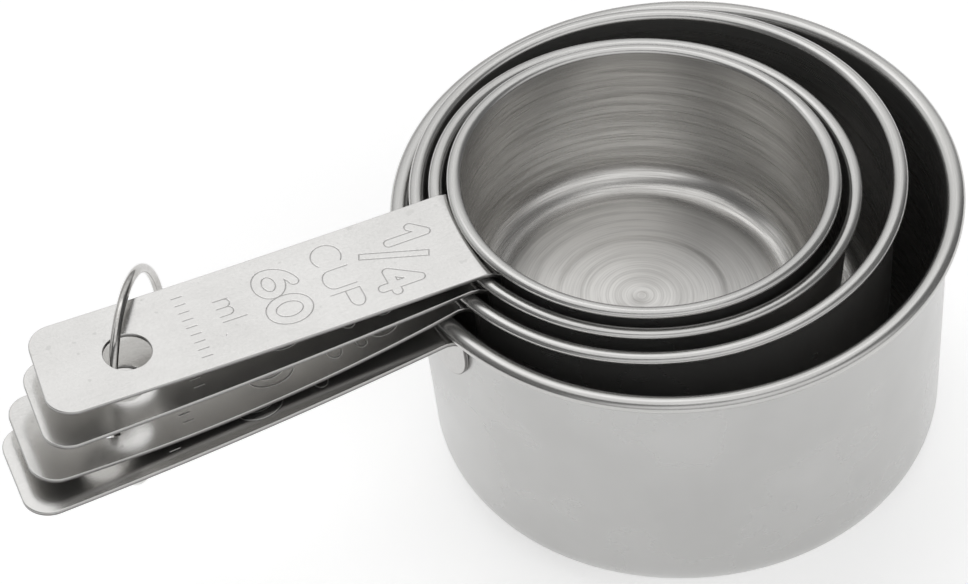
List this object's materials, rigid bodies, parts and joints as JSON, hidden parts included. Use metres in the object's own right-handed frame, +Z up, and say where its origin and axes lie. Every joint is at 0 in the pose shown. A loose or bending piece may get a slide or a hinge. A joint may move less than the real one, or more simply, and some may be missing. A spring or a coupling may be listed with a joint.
{
  "type": "measuring cup set",
  "caption": "Nested set of round steel measuring cups with long strap handles, held together by one wire ring through the handle ends.",
  "frame": {"origin": "centre of the largest cup's flat underside", "axes": "+Z up along the largest cup's axis, -X along its handle towards the free end"},
  "size_m": [0.1576, 0.089, 0.0581],
  "materials": {
    "bowl_steel": "spun stainless steel, circular brushing",
    "strap_steel": "satin stainless steel",
    "wire_steel": "bright drawn steel wire"
  },
  "bodies": {
    "one_cup": {"bowl_one_cup": "bowl_steel", "handle_one_cup": "strap_steel"},
    "half_cup": {"bowl_half_cup": "bowl_steel", "handle_half_cup": "strap_steel"},
    "third_cup": {"bowl_third_cup": "bowl_steel", "handle_third_cup": "strap_steel"},
    "quarter_cup": {"bowl_quarter_cup": "bowl_steel", "handle_quarter_cup": "strap_steel"},
    "ring": {"hanging_ring": "wire_steel"}
  },
  "joints": [
    {"name": "half_cup_lift", "type": "hinge", "parent": "one_cup", "child": "half_cup", "pos_m": [-0.11063, 0.00323, 0.03983], "axis": [-0.0105, -0.9999, 0], "range_deg": [0, 5]},
    {"name": "third_cup_lift", "type": "hinge", "parent": "half_cup", "child": "third_cup", "pos_m": [-0.10744, 0.00409, 0.04465], "axis": [-0.0218, -0.9998, 0], "range_deg": [0, 1.5]},
    {"name": "quarter_cup_lift", "type": "hinge", "parent": "third_cup", "child": "quarter_cup", "pos_m": [-0.10538, 0.00632, 0.04924], "axis": [-0.0558, -0.9984, 0], "range_deg": [0, 1.5]},
    {"name": "ring_turn", "type": "hinge", "parent": "quarter_cup", "child": "ring", "pos_m": [-0.08626, 0.01246, 0.04108], "axis": [0.8139, -0.5763, 0.0732], "continuous": true}
  ]
}
